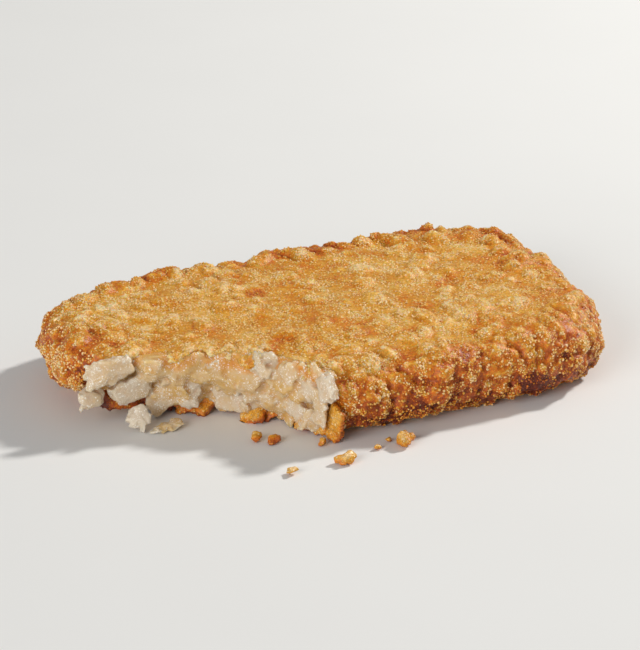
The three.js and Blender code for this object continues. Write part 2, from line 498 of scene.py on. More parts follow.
@dataclass(frozen=True)
class Groups:
    """The node groups that more than one finish uses."""

    frying_colour_and_shade: bpy.types.NodeTree = field(default_factory=frying_colour_and_shade_group)
    batter_grains_and_glints: bpy.types.NodeTree = field(default_factory=batter_grains_and_glints_group)


@dataclass(frozen=True)
class Finish:
    """What every finish of this food has: a body that light goes into, with a greasy or moist sheen.

    Attributes:
        name: The material's name.
        roughness: Roughness of the body.
        depth: How deep light goes in.
        glow: Share of the light that goes in.
        scatter: How far red, green and blue light goes, as shares of the depth.
        ior: Its index of refraction, which sets how strong the sheen is.
    """

    name: str
    roughness: float = 0.5
    depth: float = 1.2 * MM
    glow: float = 0.35
    scatter: Colour = (1.0, 0.5, 0.22)
    ior: float = 1.45

    def surface(self, tree: Tree, place: Socket, groups: Groups) -> tuple:
        """Returns the colour and the normal over the surface; each kind of finish gives its own."""
        raise NotImplementedError

    def material(self, groups: Groups) -> bpy.types.Material:
        """Makes the material.

        Args:
            groups: The shared node groups.

        Returns:
            The new material.
        """
        material = bpy.data.materials.new(self.name)
        material.use_nodes = True
        material.node_tree.nodes.clear()
        tree = Tree(material.node_tree)
        place = tree.add("ShaderNodeTexCoord").outputs["Object"]
        colour, normal = self.surface(tree, place, groups)
        shader = tree.add(
            "ShaderNodeBsdfPrincipled",
            {
                "Base Color": colour,
                "Roughness": self.roughness,
                "Normal": normal,
                "Subsurface Weight": self.glow,
                "Subsurface Radius": self.scatter,
                "Subsurface Scale": self.depth,
                "IOR": self.ior,
            },
        )
        tree.add("ShaderNodeOutputMaterial", {"Surface": shader.outputs["BSDF"]})
        return material


@dataclass(frozen=True)
class FriedCrust(Finish):
    """Golden to brown fried crust with fine pale grains of batter on its ridges.

    Attributes:
        grain: Size of the batter's grains.
        grain_height: Their height.
        cover: Share of the surface that they cover where it is bare and where it is covered.
    """

    grain: float = 0.31 * MM
    grain_height: float = 0.16 * MM
    cover: tuple[float, float] = (0.22, 0.55)

    def surface(self, tree: Tree, place: Socket, groups: Groups) -> tuple:
        """Returns the frying colour by the stored browning and relief, with painted shade in crevices and
        pores and painted highlights on tips, and the grains' bump.
        """
        relief, browning, cover = map(tree.stored, (Stored.RELIEF, Stored.BROWNING, Stored.COVER))
        cover = tree.spread(cover, 0.0, 1.0, *self.cover)
        grains = tree.group(groups.batter_grains_and_glints, Place=place, Size=self.grain, Cover=cover)
        inputs = {"Place": place, "Relief": relief, "Browning": browning, "Grains": grains}
        colour = tree.group(groups.frying_colour_and_shade, **inputs)
        fuzz = tree.noise(place, self.grain * 0.8, 2.0, 0.6)
        height = tree.math("ADD", grains, tree.math("MULTIPLY", fuzz, 0.6))
        return colour, tree.bump(height, self.grain_height)


@dataclass(frozen=True)
class CookedPotato(Finish):
    """Steamed potato from the patty's inside: translucent, moist, cream with a yellow or a white cast.

    Attributes:
        deep: Colour of the most translucent potato.
        pale: Colour of the whitest potato.
        hollow: Colour in its crevices: a painted warm glow of the light that goes through the potato into
            its shade, and the stain of the crust's fat next to the crust.
        rim: Colour of its highest edges, a painted glow of the light through thin edges.
        glint: Colour of the painted glints on it.
        fibre: Size of its finest unevenness.
        fibre_height: Height of that.
        cloudiness: How far the clouds in it change its tint, from 0 to 1.
        torn: How much of that painted edge glow the highest edges get, from 0 to 1.
        glint_cover: How thickly painted glints cover its glinting patches, from 0 to 1.
    """

    deep: Colour = (0.67, 0.42, 0.135)
    pale: Colour = (0.70, 0.59, 0.45)
    hollow: Colour = (0.77, 0.31, 0.035)
    rim: Colour = (0.82, 0.73, 0.59)
    glint: Colour = (0.97, 0.94, 0.88)
    fibre: float = 0.32 * MM
    fibre_height: float = 0.19 * MM
    cloudiness: float = 0.35
    torn: float = 0.7
    glint_cover: float = 0.48

    def surface(self, tree: Tree, place: Socket, groups: Groups) -> tuple:
        """Returns a colour between deep and pale, by the stored tint and soft clouds, with a painted glow on
        its edges and in its crevices and painted glints, and a soft bump.
        """
        tint, relief = map(tree.stored, (Stored.TINT, Stored.RELIEF))
        cloudy = tree.clouds(place, 2.2 * MM, -self.cloudiness, self.cloudiness, detail=5.0, roughness=0.7)
        colour = tree.mix(tree.math("ADD", tint, cloudy, use_clamp=True), self.deep, self.pale)
        # A painted glow of light through thin edges pales the highest edges.
        colour = tree.mix(tree.spread(relief, 0.6, 0.95, 0.0, self.torn), colour, self.rim)
        # Crevices take a painted warm glow of light; potato stained by the crust's fat takes the same
        # colour.
        colour = tree.mix(tree.spread(relief, 0.12, 0.5, 1.0, 0.0), colour, self.hollow)
        # Painted glints: tiny pale specks stand in for highlights on the moist potato.
        glinting = tree.spread(tree.noise(place, 1.6 * MM), 0.4, 0.6, 0.0, self.glint_cover)
        painted_glints = tree.group(groups.batter_grains_and_glints, Place=place, Size=self.fibre * 0.7, Cover=glinting)
        normal = tree.bump(tree.noise(place, self.fibre, 3.0, 0.7), self.fibre_height)
        return tree.mix(painted_glints, colour, self.glint), normal


@dataclass(frozen=True)
class Paint:
    """The floor's even, matt finish: its name, colour and roughness, and how bright its darker parts are."""

    name: str = "pale_floor"
    colour: Colour = (0.83, 0.83, 0.81)
    roughness: float = 0.7
    mottling: float = 0.97

    def material(self) -> bpy.types.Material:
        """Makes the material, faintly mottled."""
        material = bpy.data.materials.new(self.name)
        material.use_nodes = True
        tree = Tree(material.node_tree)
        place = tree.add("ShaderNodeTexCoord").outputs["Object"]
        shade = tuple(self.mottling * part for part in self.colour)
        shader = material.node_tree.nodes["Principled BSDF"]
        tree.put(tree.mix(tree.noise(place, 40 * MM), self.colour, shade), shader.inputs["Base Color"])
        tree.put(self.roughness, shader.inputs["Roughness"])
        return material


# ------------------------------------------------------------
# Lumps, and scattering them
# ------------------------------------------------------------


class Basis(Enum):
    """The patterns of relief that a surface can be given."""

    SOFT = "BLENDER_ORIGINAL"  # soft clouds
    PEBBLES = "VORONOI_F1"  # rounded cells with creases between them
    RIDGES = "RIDGED_MULTIFRACTAL"  # thin crooked ridges


class Push(Enum):
    """The directions that relief can push a surface in."""

    OUT = "NORMAL"
    ALONG = "X"
    ACROSS = "Y"


@dataclass(frozen=True)
class Relief:
    """One layer of relief, pushed into a surface.

    Attributes:
        basis: Its pattern.
        size: Size of its features.
        height: Its height.
        group: The vertex group that it keeps to, or none for the whole surface.
        depth: How many finer octaves the pattern has.
        push: Where it pushes the surface.
    """

    basis: Basis
    size: float
    height: float
    group: Stored | None = None
    depth: int = 0
    push: Push = Push.OUT

    def apply(self, piece: Piece) -> None:
        """Pushes the relief into a piece's mesh."""
        ridged = self.basis is Basis.RIDGES
        texture = bpy.data.textures.new("relief", "MUSGRAVE" if ridged else "CLOUDS")
        texture.noise_scale = self.size
        if ridged:
            texture.musgrave_type = self.basis.value
            texture.octaves = self.depth + 1
            texture.noise_intensity = 0.5
        else:
            texture.noise_basis = self.basis.value
            texture.noise_depth = self.depth
        settings = {"texture": texture, "texture_coords": "LOCAL", "direction": self.push.value}
        modify(piece, "DISPLACE", self.group, strength=self.height, mid_level=0.5, **settings)
        bpy.data.textures.remove(texture)


FLAKY = (
    Relief(Basis.SOFT, 1.3 * MM, 1.2 * MM, depth=1, push=Push.ALONG),
    Relief(Basis.SOFT, 1.1 * MM, 1.1 * MM, depth=1, push=Push.ACROSS),
    Relief(Basis.SOFT, 0.6 * MM, 0.5 * MM),
)  # a broken edge round a grainy face
RAGGED = (
    Relief(Basis.SOFT, 1.3 * MM, 2.2 * MM, depth=1, push=Push.ALONG),
    Relief(Basis.SOFT, 1.1 * MM, 2.0 * MM, depth=1, push=Push.ACROSS),
    Relief(Basis.SOFT, 2.4 * MM, 0.5 * MM),
)  # ragged edges round flat faces


@dataclass(frozen=True)
class Lump:
    """A lump of potato or crust.

    Attributes:
        size: Its length, width and thickness.
        reliefs: The relief that makes it uneven.
        cuts: How many flat faces are cut from its block.
        cell: Size of the cells that even out its mesh, or 0 for a plain ball of 20 faces.
        roundness: How round its block is before the cuts, from 0 to 1.
    """

    size: Size
    reliefs: tuple[Relief, ...] = ()
    cuts: int = 0
    cell: float = 0.0
    roundness: float = 0.5

    def build(self, name: str, seed: int) -> Piece:
        """Models the lump at the origin, with relief of its own.

        Args:
            name: The object's name.
            seed: Which of its patterns of relief it gets.

        Returns:
            The lump, with its relief stored from 0 underneath to 1 at its top.
        """
        draw = random.Random(seed)
        bpy.ops.object.select_all(action="DESELECT")
        if self.cell:
            bpy.ops.mesh.primitive_cube_add(size=2)
        else:
            bpy.ops.mesh.primitive_ico_sphere_add(subdivisions=1, radius=1)
        lump = bpy.context.object
        lump.name = lump.data.name = name
        if self.cell:
            bpy.ops.object.mode_set(mode="EDIT")
            bpy.ops.mesh.subdivide(number_cuts=7)
            bpy.ops.transform.tosphere(value=self.roundness)
            for _cut in range(self.cuts):
                facing = Vector((draw.gauss(0, 1), draw.gauss(0, 1), draw.gauss(0, 1))).normalized()
                middle = facing * draw.uniform(0.6, 1.0)
                bpy.ops.mesh.select_all(action="SELECT")
                bpy.ops.mesh.bisect(plane_co=middle, plane_no=facing, use_fill=True, clear_outer=True)
            bpy.ops.object.mode_set(mode="OBJECT")
        away = Vector((seed * 37, seed * 11, seed * 5)) * MM
        lump.scale = Vector(self.size) / 2
        lump.location = away
        settle(lump)
        if self.cell:
            remesh(lump, self.cell)
        for relief in self.reliefs:
            relief.apply(lump)
        points = points_of(lump) - np.array(away)
        move_points(lump, points)
        store(lump, Stored.RELIEF, 0.5 + 0.5 * np.clip(points[:, 2] / (self.size[2] / 2), -1, 1))
        return lump


@dataclass(frozen=True)
class Scatter:
    """How grains are strewn over a surface.

    Attributes:
        where: The stored number that says how thickly they lie.
        spacing: Least distance between two of them.
        scale: Their smallest and their largest scale.
        sink: How deep a grain's middle lies under the surface.
        tilt: How far they may lean.
        seed: Which of the random layouts is used.
    """

    where: Stored
    spacing: float
    scale: tuple[float, float]
    sink: float
    tilt: float
    seed: int

    def strew(self, surface: Piece, grains: list[Piece], name: str) -> Piece:
        """Strews copies of grains over a surface and joins them.

        Args:
            surface: The object whose mesh they lie on.
            grains: The grains to choose from, which are used up.
            name: The name of the new object.

        Returns:
            A new object of all the grains, each with a mesh of its own.
        """
        kinds = bpy.data.collections.new(name)
        for grain in grains:
            kinds.objects.link(grain)
        strewn = copy_of(surface, name)
        swell(strewn, -self.sink)
        modify(strewn, "NODES", node_group=self.layout(name, kinds))
        for grain in grains:
            bpy.data.objects.remove(grain)
        bpy.data.collections.remove(kinds)
        strewn.data.materials.clear()
        return strewn

    def layout(self, name: str, kinds: bpy.types.Collection) -> bpy.types.NodeTree:
        """Makes the node group that lays a collection's objects over a surface.

        Args:
            name: The group's name.
            kinds: The objects to choose from.

        Returns:
            The node group.
        """
        tree, source, result = new_group(
            name, "GeometryNodeTree", {"Surface": "Geometry"}, {"Grains": "Geometry"}
        )
        weight = tree.add("GeometryNodeInputNamedAttribute", {"Name": self.where.value}, data_type="FLOAT")
        points = tree.add(
            "GeometryNodeDistributePointsOnFaces",
            {
                "Mesh": source.outputs["Surface"],
                "Distance Min": self.spacing,
                "Density Max": 2 / self.spacing**2,
                "Density Factor": weight.outputs["Attribute"],
                "Seed": self.seed,
            },
            distribute_method="POISSON",
        )
        each = tree.add(
            "GeometryNodeCollectionInfo",
            {"Collection": kinds, "Separate Children": True, "Reset Children": True},
        )
        placed = tree.add(
            "GeometryNodeInstanceOnPoints",
            {
                "Points": points.outputs["Points"],
                "Instance": each.outputs["Instances"],
                "Pick Instance": True,
                "Instance Index": tree.draw("INT", 0, len(kinds.objects) - 1, self.seed),
                "Rotation": points.outputs["Rotation"],
                "Scale": tree.draw("FLOAT", *self.scale, self.seed + 1),
            },
        )
        most = Vector((self.tilt, self.tilt, math.pi))
        turn = tree.draw("FLOAT_VECTOR", -most, most, self.seed + 2)
        turned = tree.add(
            "GeometryNodeRotateInstances",
            {"Instances": placed.outputs["Instances"], "Rotation": turn, "Local Space": True},
        )
        tint = tree.draw("FLOAT", 0.0, 1.0, self.seed + 3)
        tinted = tree.add(
            "GeometryNodeStoreNamedAttribute",
            {"Geometry": turned.outputs[0], "Name": Stored.TINT.value, "Value": tint},
            data_type="FLOAT",
            domain="INSTANCE",
        )
        real = tree.add("GeometryNodeRealizeInstances", {"Geometry": tinted.outputs[0]})
        tree.put(real.outputs[0], result.inputs["Grains"])
        return tree.tree


# ------------------------------------------------------------
# The bite
# ------------------------------------------------------------


@dataclass(frozen=True)
class Bite:
    """The shape of the bite: an upright superellipse about a point beyond the patty's near left corner.

    Attributes:
        low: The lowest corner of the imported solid's box.
        offset: From that corner to the bite's centre, along X and Y.
        reach: How far the bite reaches along X and along Y.
        squareness: The superellipse's exponent.
        undercut: How much further its far side reaches in at the bottom than at the top.
        height: The patty's height.
    """

    low: Vector
    offset: tuple[float, float] = mm(0.3, -9.2)
    reach: tuple[float, float] = mm(43, 36)
    squareness: float = 2.4
    undercut: float = 7 * MM
    height: float = 14.5 * MM

    def further(self, angle: float | np.ndarray, height: float | np.ndarray) -> float | np.ndarray:
        """Returns how much further than its reach the bite goes at an angle and a height."""
        return self.undercut * np.sin(angle) * (0.5 - height / self.height)

    def wall(self, angle: float, height: float, out: float = 0.0) -> Vector:
        """Returns a point on the bite's wall, moved out of the potato by out."""
        further = float(self.further(angle, height)) - out
        power = 2 / self.squareness
        x = self.low.x + self.offset[0] + (self.reach[0] + further) * math.cos(angle) ** power
        y = self.low.y + self.offset[1] + (self.reach[1] + further) * math.sin(angle) ** power
        return Vector((x, y, height))

    def facing(self, angle: float) -> Vector:
        """Returns the level direction that the wall faces at an angle."""
        along = self.wall(angle + 0.02, 0) - self.wall(angle - 0.02, 0)
        return Vector((-along.y, along.x, 0)).normalized()

    def depth(self, points: np.ndarray) -> np.ndarray:
        """Returns how deep in the potato, behind the bite's wall, each point lies, in metres."""
        x = points[:, 0] - self.low.x - self.offset[0]
        y = points[:, 1] - self.low.y - self.offset[1]
        power = self.squareness
        wide, deep = self.reach
        angle = np.arctan2(np.abs(y / deep) ** (power / 2), np.abs(x / wide) ** (power / 2))
        further = self.further(angle, points[:, 2])
        share = np.abs(x / (wide + further)) ** power + np.abs(y / (deep + further)) ** power
        share = share ** (1 / power)
        return (share - 1) * np.hypot(x, y) / np.maximum(share, 0.1)


# ------------------------------------------------------------
# The patty
# ------------------------------------------------------------


@dataclass(frozen=True)
class Spot:
    """A spot that browned more or less than what is round it.

    Attributes:
        place: Its middle.
        size: How far it reaches.
        browning: How much browner its middle is, or below 0 how much paler.
    """

    place: tuple[float, float, float]
    size: float
    browning: float

    def added_to(self, points: np.ndarray, ragged: np.ndarray) -> np.ndarray:
        """Returns what the spot adds to each point's browning, with a ragged edge."""
        away = np.linalg.norm(points - np.array(self.place), axis=1) * ragged
        return self.browning * smoothstep(self.size, 0.3 * self.size, away)


@dataclass(frozen=True)
class Browning:
    """How brown the crust's parts are, from 0 to 1, and what is added to that, with painted shade low on the
    side and in crevices.

    Attributes:
        top: The top.
        rim: The side.
        cut: The crust that the bite cut through.
        top_edge: Added along the top's edge, away from the bite.
        top_right: Added on the top's right end.
        far: Added on the far side.
        right: Added on the right end's side.
        left: Added on the left end's side.
        low: Added low on the side, as painted shade where the side curves under towards the ground.
        crevice: Added in the deepest crevices, as painted shade.
    """

    top: float = 0.33
    rim: float = 0.61
    cut: float = 0.72
    top_edge: float = 0.18
    top_right: float = 0.04
    far: float = 0.13
    right: float = -0.10
    left: float = 0.01
    low: float = 0.33
    crevice: float = 0.3


@dataclass
class Patty:
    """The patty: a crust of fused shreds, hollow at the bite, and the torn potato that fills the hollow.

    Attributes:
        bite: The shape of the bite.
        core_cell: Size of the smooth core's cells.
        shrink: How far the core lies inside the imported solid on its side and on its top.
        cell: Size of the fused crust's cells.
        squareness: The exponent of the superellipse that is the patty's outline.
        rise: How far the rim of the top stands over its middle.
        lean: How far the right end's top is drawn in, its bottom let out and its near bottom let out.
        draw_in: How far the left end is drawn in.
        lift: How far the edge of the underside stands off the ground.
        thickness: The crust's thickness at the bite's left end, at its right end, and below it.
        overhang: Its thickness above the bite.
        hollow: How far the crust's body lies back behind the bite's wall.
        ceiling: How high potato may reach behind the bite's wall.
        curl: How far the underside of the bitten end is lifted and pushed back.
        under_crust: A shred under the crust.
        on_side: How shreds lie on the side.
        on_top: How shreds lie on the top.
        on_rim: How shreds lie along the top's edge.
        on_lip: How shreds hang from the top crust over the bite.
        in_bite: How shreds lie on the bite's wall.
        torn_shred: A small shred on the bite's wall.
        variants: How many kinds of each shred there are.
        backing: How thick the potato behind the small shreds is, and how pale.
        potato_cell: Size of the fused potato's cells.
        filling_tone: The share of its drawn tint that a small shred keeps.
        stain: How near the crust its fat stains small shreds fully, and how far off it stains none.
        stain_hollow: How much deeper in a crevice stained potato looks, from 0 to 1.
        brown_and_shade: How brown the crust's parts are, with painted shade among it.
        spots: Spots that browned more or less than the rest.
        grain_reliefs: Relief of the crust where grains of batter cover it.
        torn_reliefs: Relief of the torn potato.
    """

    bite: Bite
    core_cell: float = 0.8 * MM
    shrink: tuple[float, float] = mm(0.6, 0.3)
    squareness: float = 3.9
    rise: float = 0.6 * MM
    lean: tuple[float, float, float] = mm(2.6, 0.2, 1.7)
    draw_in: float = 0.7 * MM
    lift: float = 1.5 * MM
    cell: float = 0.34 * MM
    thickness: tuple[float, float, float] = mm(7.2, 4.2, 1.3)
    overhang: float = 2.1 * MM
    hollow: float = 1.8 * MM
    ceiling: float = 13.5 * MM
    curl: tuple[float, float] = mm(3.6, 3.0)
    under_crust: Lump = Lump(
        mm(5.4, 3.6, 2.6), (Relief(Basis.SOFT, 2 * MM, 1.1 * MM),), cell=0.4 * MM, roundness=1.0
    )
    on_side: Scatter = Scatter(Stored.SIDE, 2.0 * MM, (0.3, 0.85), sink=0.65 * MM, tilt=0.35, seed=11)
    on_top: Scatter = Scatter(Stored.TOP, 3.6 * MM, (0.6, 1.2), sink=1.45 * MM, tilt=0.06, seed=21)
    on_rim: Scatter = Scatter(Stored.RIM, 2.2 * MM, (0.35, 1.0), sink=0.5 * MM, tilt=0.35, seed=71)
    on_lip: Scatter = Scatter(Stored.LIP, 2.0 * MM, (0.3, 0.85), sink=0.4 * MM, tilt=0.3, seed=31)
    in_bite: Scatter = Scatter(Stored.FILLED, 2.3 * MM, (0.5, 1.1), sink=0.6 * MM, tilt=0.2, seed=41)
    torn_shred: Lump = Lump(mm(5.6, 4.2, 1.5), RAGGED, cuts=5, cell=0.3 * MM, roundness=0.15)
    variants: int = 4
    backing: tuple[float, float] = (3 * MM, 0.1)
    potato_cell: float = 0.26 * MM
    filling_tone: float = 0.6
    stain: tuple[float, float] = mm(0.2, 1.8)
    stain_hollow: float = 0.55
    brown_and_shade: Browning = Browning()
    spots: tuple[Spot, ...] = (
        Spot(mm(-42.0, 7.0, 14.5), 10.0 * MM, -0.19),
        Spot(mm(30.0, -10.0, 14.5), 8.0 * MM, -0.14),
        Spot(mm(15.0, -15.0, 14.5), 8.0 * MM, -0.12),
        Spot(mm(5.0, -21.0, 14.5), 8.0 * MM, -0.12),
        Spot(mm(9.0, 28.0, 13.0), 8.0 * MM, 0.25),
        Spot(mm(-1.7, -29.0, 12.0), 7.0 * MM, -0.2),
        Spot(mm(48.0, 0.0, 12.0), 10.0 * MM, -0.1),
        Spot(mm(-42.0, 18.0, 14.5), 9.0 * MM, -0.12),
        Spot(mm(-21.0, 10.0, 14.5), 6.0 * MM, -0.12),
        Spot(mm(-11.3, 8.4, 14.5), 3.4 * MM, 0.35),
        Spot(mm(-26.4, -0.1, 14.5), 0.8 * MM, 1.2),
        Spot(mm(13.6, -25.3, 14.5), 1.2 * MM, 1.0),
        Spot(mm(20.1, -21.6, 14.5), 2.0 * MM, 0.4),
        Spot(mm(41.9, -11.8, 14.0), 4.5 * MM, 0.2),
        Spot(mm(28.6, -31.5, 4.4), 5.0 * MM, 0.6),
        Spot(mm(-48.5, 8.0, 12.5), 3.2 * MM, 0.16),
        Spot(mm(-51.4, 12.2, 8.0), 5.0 * MM, 0.14),
        Spot(mm(-51.0, -5.5, 8.0), 5.0 * MM, 0.36),
        Spot(mm(8.4, 15.6, 14.5), 3.0 * MM, 0.14),
        Spot(mm(17.1, -8.8, 14.5), 3.0 * MM, 0.14),
    )
    grain_reliefs: tuple[Relief, ...] = (
        Relief(Basis.RIDGES, 1.7 * MM, 0.24 * MM, Stored.SIDE, 3),
        Relief(Basis.PEBBLES, 1.0 * MM, -0.22 * MM, Stored.SIDE, 1),
        Relief(Basis.RIDGES, 1.2 * MM, 0.25 * MM, Stored.COVER, 3),
        Relief(Basis.SOFT, 0.6 * MM, 0.3 * MM, depth=1),
    )
    torn_reliefs: tuple[Relief, ...] = (
        Relief(Basis.RIDGES, 1.3 * MM, 0.12 * MM, depth=3),
        Relief(Basis.SOFT, 0.55 * MM, 0.12 * MM, depth=1),
    )
    core: Piece = field(init=False)

    def build_crust(self, node: Piece) -> Piece:
        """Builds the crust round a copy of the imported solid.

        Args:
            node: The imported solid, which stays as it is.

        Returns:
            The crust.
        """
        self.core = self.smooth_core(node)
        self.mark(self.core)
        shreds = [
            self.strew_shreds(self.under_crust, scatter, f"shreds_on_{scatter.where.value}")
            for scatter in (self.on_side, self.on_top, self.on_rim, self.on_lip)
        ]
        crust = copy_of(self.core, "crust")
        for stored, strength in (
            (Stored.SIDE, self.shrink[0]),
            (Stored.TOP, self.shrink[1]),
            (Stored.FLESH, self.hollow),
            (Stored.TORN, self.hollow),
        ):
            swell(crust, -strength, stored)
        crust = join([crust, *shreds], "fried_crust")
        self.curl_up(crust)
        crust.vertex_groups.clear()
        remesh(crust, self.cell)
        even_out(crust, rounds=4)
        self.take_marks(crust)
        press_flat(crust)
        self.cover_with_grains(crust)
        press_flat(crust)
        thin_out(crust)
        self.store_colours(crust)
        smooth(crust)
        return crust

    def build_potato(self, bits: Piece, crust: Piece) -> Piece:
        """Builds the torn potato of the bite.

        Args:
            bits: The large torn shreds, which are used up.
            crust: The crust, whose fat stains the small shreds next to it.

        Returns:
            The potato.
        """
        backing = self.build_backing()
        filling = self.strew_shreds(self.torn_shred, self.in_bite, "filling")
        store(filling, Stored.TINT, self.filling_tone * values_of(filling, Stored.TINT))
        self.curl_up(join([backing, filling], "backing"))
        self.press_under(backing)
        potato = join([bits, backing], "torn_potato")
        potato.vertex_groups.clear()
        fuse(potato, self.potato_cell, (Stored.TINT,))
        even_out(potato, rounds=2)
        press_flat(potato)
        for relief in self.torn_reliefs:
            relief.apply(potato)
        press_flat(potato)
        thin_out(potato)
        near, far = self.stain
        tint = values_of(potato, Stored.TINT)
        stain = smoothstep(far, near, distances(potato, crust)) * smoothstep(0.6, 0.4, tint)
        # The relief places the painted glow of edges and crevices; the crust's fat stains nearby potato
        # towards the crevice colour.
        store(potato, Stored.RELIEF, self.relief_of(potato, span=1.2 * MM) * (1 - self.stain_hollow * stain))
        store(potato, Stored.TINT, tint * (1 - stain))
        smooth(potato)
        return potato

    def build_backing(self) -> Piece:
        """Returns what lies behind the bite's small shreds: the core's skin there, given a thickness."""
        thickness, tone = self.backing
        backing = copy_of(self.core, "backing")
        filled = weights_of(backing, Stored.FILLED)
        activate(backing)
        bpy.ops.object.mode_set(mode="EDIT")
        bpy.ops.mesh.select_all(action="DESELECT")
        bpy.ops.object.mode_set(mode="OBJECT")
        for face in backing.data.polygons:
            face.select = bool(max(filled[corner] for corner in face.vertices) < LEAST_WEIGHT)
        bpy.ops.object.mode_set(mode="EDIT")
        bpy.ops.mesh.delete(type="FACE")
        bpy.ops.object.mode_set(mode="OBJECT")
        modify(backing, "SOLIDIFY", thickness=thickness, offset=-1.0)
        swell(backing, 0.1 * MM)
        store(backing, Stored.TINT, tone)
        store(backing, Stored.RELIEF, 0.6)
        return backing

    def cover_with_grains(self, crust: Piece) -> None:
        """Settles where grains of batter cover the crust, roughens it there and smooths it elsewhere."""
        points = points_of(crust)
        patches = clouds(points, 3.4 * MM, seed=1) + 0.6 * clouds(points, 1.5 * MM, seed=2)
        tips = self.relief_of(crust, span=1.0 * MM) - 0.5
        cover = smoothstep(-0.35, 0.35, patches + 1.6 * tips)
        group_vertices(crust, Stored.COVER, cover)
        group_vertices(crust, Stored.BARE, 1 - cover)
        even_out(crust, rounds=3, group=Stored.BARE)
        for relief in self.grain_reliefs:
            relief.apply(crust)

    @staticmethod
    def relief_of(piece: Piece, span: float, reach: int = 16) -> np.ndarray:
        """Tells how high each vertex of a piece stands over its surroundings.

        Args:
            piece: The object.
            span: The height from the deepest to the highest that is told apart, in metres.
            reach: How many rounds of smoothing give the surroundings.

        Returns:
            For each vertex 0.5 on even ground, 0 at half a span below it and 1 at half a span above it.
        """
        even = copy_of(piece, "even")
        even_out(even, reach)
        height = np.einsum("ij,ij->i", points_of(piece) - points_of(even), normals_of(even))
        bpy.data.objects.remove(even)
        return np.clip(0.5 + height / span, 0, 1)

    def smooth_core(self, node: Piece) -> Piece:
        """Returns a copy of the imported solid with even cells."""
        core = copy_of(node, "core")
        core.parent = None
        core.hide_render = False
        modify(core, "WELD", merge_threshold=0.001 * MM)
        remesh(core, self.core_cell)
        even_out(core, rounds=12)
        points = points_of(core)
        x, y = points[:, 0].copy(), points[:, 1]
        low = np.clip(1 - points[:, 2] / self.bite.height, 0, 1)
        top_in, bottom_out, near_out = self.lean
        points[:, 0] += smoothstep(30 * MM, 52 * MM, x) * (bottom_out * low - top_in * (1 - low))
        points[:, 0] += smoothstep(-44 * MM, -53 * MM, x) * self.draw_in
        points[:, 1] -= smoothstep(5 * MM, 40 * MM, x) * smoothstep(0, -30 * MM, y) * near_out * low
        away = smoothstep(2 * MM, 10 * MM, self.bite.depth(points))
        points[:, 2] += self.rise * self.edge(points) * away * (1 - low)
        points[:, 2] += self.lift * smoothstep(0.88, 1.0, self.share(points)) * low**2
        move_points(core, points)
        return core

    def mark(self, core: Piece) -> None:
        """Stores on the core where its side, its top and the bite's potato are."""
        points, normals = points_of(core), normals_of(core)
        up, height = normals[:, 2], points[:, 2] / self.bite.height
        depth = self.bite.depth(points)
        wall = smoothstep(1.6 * MM, 0.6 * MM, depth)
        flesh = wall * self.inside(points, self.overhang)
        filled = wall * self.inside(points, 0.0)
        side = smoothstep(0.93, 0.6, up) * smoothstep(-0.99, -0.8, up) * (1 - wall)
        lip = wall * (1 - flesh) * smoothstep(0.78, 0.88, height)
        torn = smoothstep(3 * MM, 1.5 * MM, depth) * (1 - flesh)
        torn *= smoothstep(0.1, 0.5, clouds(points, 5 * MM, seed=5))
        torn *= smoothstep(0.7, 0.8, height) * self.inside(points, 0.0)
        top = smoothstep(0.6, 0.9, up) * (1 - flesh) * (1 - torn)
        rim = self.edge(points) * smoothstep(-0.2, 0.1, up) * (1 - wall)
        for stored, values in (
            (Stored.FLESH, flesh),
            (Stored.FILLED, filled),
            (Stored.SIDE, side),
            (Stored.TOP, top),
            (Stored.LIP, lip * (1 - torn)),
            (Stored.TORN, torn),
            (Stored.RIM, rim),
        ):
            store(core, stored, values)
            group_vertices(core, stored, values)

    def share(self, points: np.ndarray) -> np.ndarray:
        """Returns how far out points lie, as a share of the way from the middle to the outline."""
        low, power = self.bite.low, self.squareness
        far = np.abs(points[:, 0] / low.x) ** power + np.abs(points[:, 1] / low.y) ** power
        return far ** (1 / power)

    def edge(self, points: np.ndarray) -> np.ndarray:
        """Returns 1 along the patty's outline, and 0 from about a centimetre inside it."""
        return smoothstep(0.70, 0.88, self.share(points) + 0.06 * clouds(points, 8 * MM, seed=4))

    def inside(self, points: np.ndarray, lip: float) -> np.ndarray:
        """Returns 1 where a point on the bite's wall lies deeper than the crust, and 0 in the crust.

        Args:
            points: The points.
            lip: How thick the crust is above the potato, in metres.

        Returns:
            One number for each point.
        """
        low, up = self.bite.low, points[:, 2]
        left, right, thin = self.thickness
        ragged = 1.4 * MM * clouds(points * (1, 1, 0.3), 5 * MM, seed=3)
        margins = (
            (points[:, 0] - low.x - left, 1.5 * MM),
            (points[:, 1] - low.y - right, 1.5 * MM),
            (up - thin, 0.4 * MM),
            (self.bite.height - up - lip + ragged, 0.4 * MM),
        )
        share = np.ones(len(points))
        for margin, blur in margins:
            share *= smoothstep(-blur, blur, margin)
        return share

    def strew_shreds(self, shred: Lump, scatter: Scatter, name: str) -> Piece:
        """Strews a few kinds of one shred over one part of the core."""
        lumps = [shred.build(f"{name}_{seed}", seed + scatter.seed) for seed in range(self.variants)]
        return scatter.strew(self.core, lumps, name)

    def take_marks(self, body: Piece) -> None:
        """Copies the core's vertex groups to the fused body."""
        modifier = body.modifiers.new("Marks", "DATA_TRANSFER")
        modifier.object = self.core
        modifier.use_vert_data = True
        modifier.data_types_verts = {"VGROUP_WEIGHTS"}
        modifier.vert_mapping = "POLYINTERP_NEAREST"
        activate(body)
        bpy.ops.object.datalayout_transfer(modifier=modifier.name)
        bpy.ops.object.modifier_apply(modifier=modifier.name)

